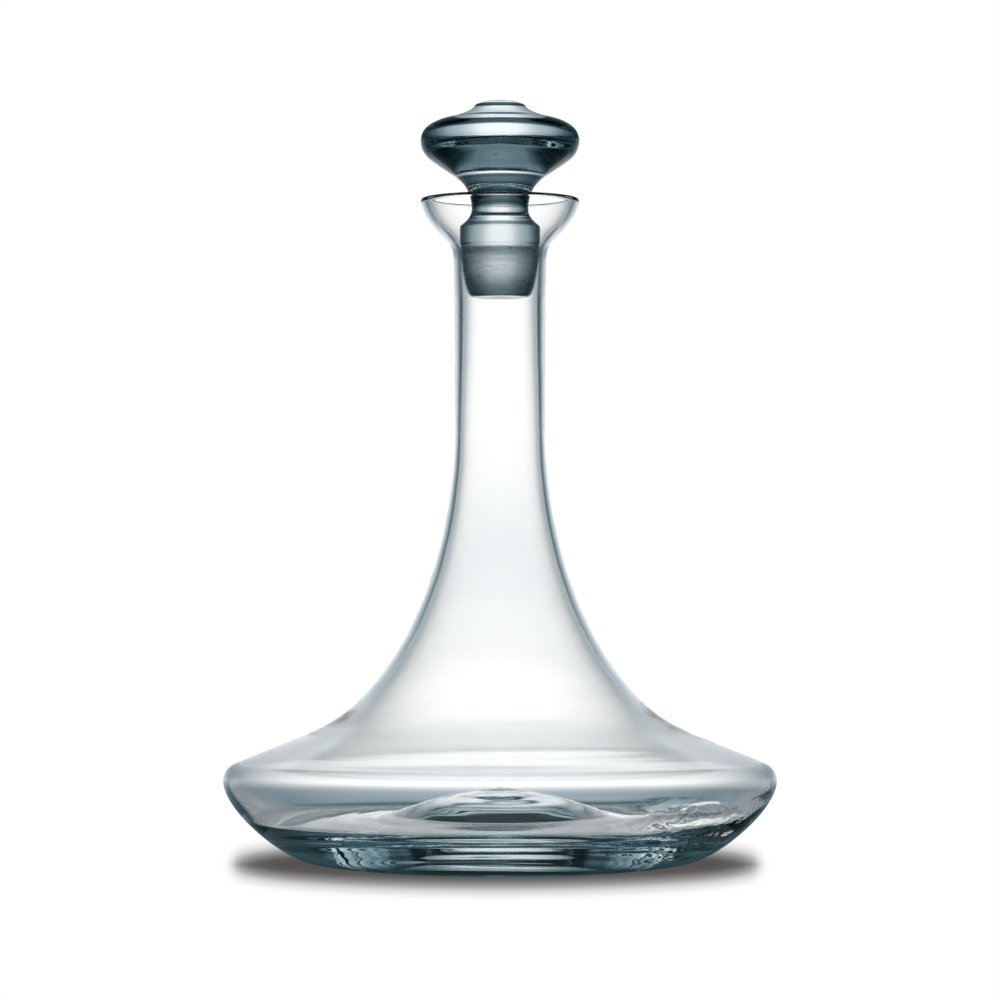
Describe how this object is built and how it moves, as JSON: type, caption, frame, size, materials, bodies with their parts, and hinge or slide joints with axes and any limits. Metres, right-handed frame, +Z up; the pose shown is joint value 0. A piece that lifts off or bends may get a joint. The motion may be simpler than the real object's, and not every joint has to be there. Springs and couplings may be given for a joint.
{
  "type": "wine decanter",
  "caption": "Wide-bowled clear glass decanter with a long flared neck, a funnel lip and a lift-out solid glass stopper.",
  "frame": {"origin": "centre of the foot, on the plane that the decanter stands on", "axes": "+Z up along the axis of the neck; the object is turned about Z, so X and Y are equal and the front faces -Y"},
  "size_m": [0.2062, 0.2062, 0.2872],
  "materials": {
    "decanter_glass": "polished clear glass with a faint blue-green tint",
    "stopper_glass": "polished clear glass, ground to a satin finish on the plug"
  },
  "bodies": {
    "decanter": {"decanter_body": "decanter_glass"},
    "stopper": {"stopper": "stopper_glass"}
  },
  "joints": [
    {"name": "stopper_lift", "type": "slide", "parent": "decanter", "child": "stopper", "axis": [0, 0, 1], "range_m": [0, 0.05]}
  ]
}
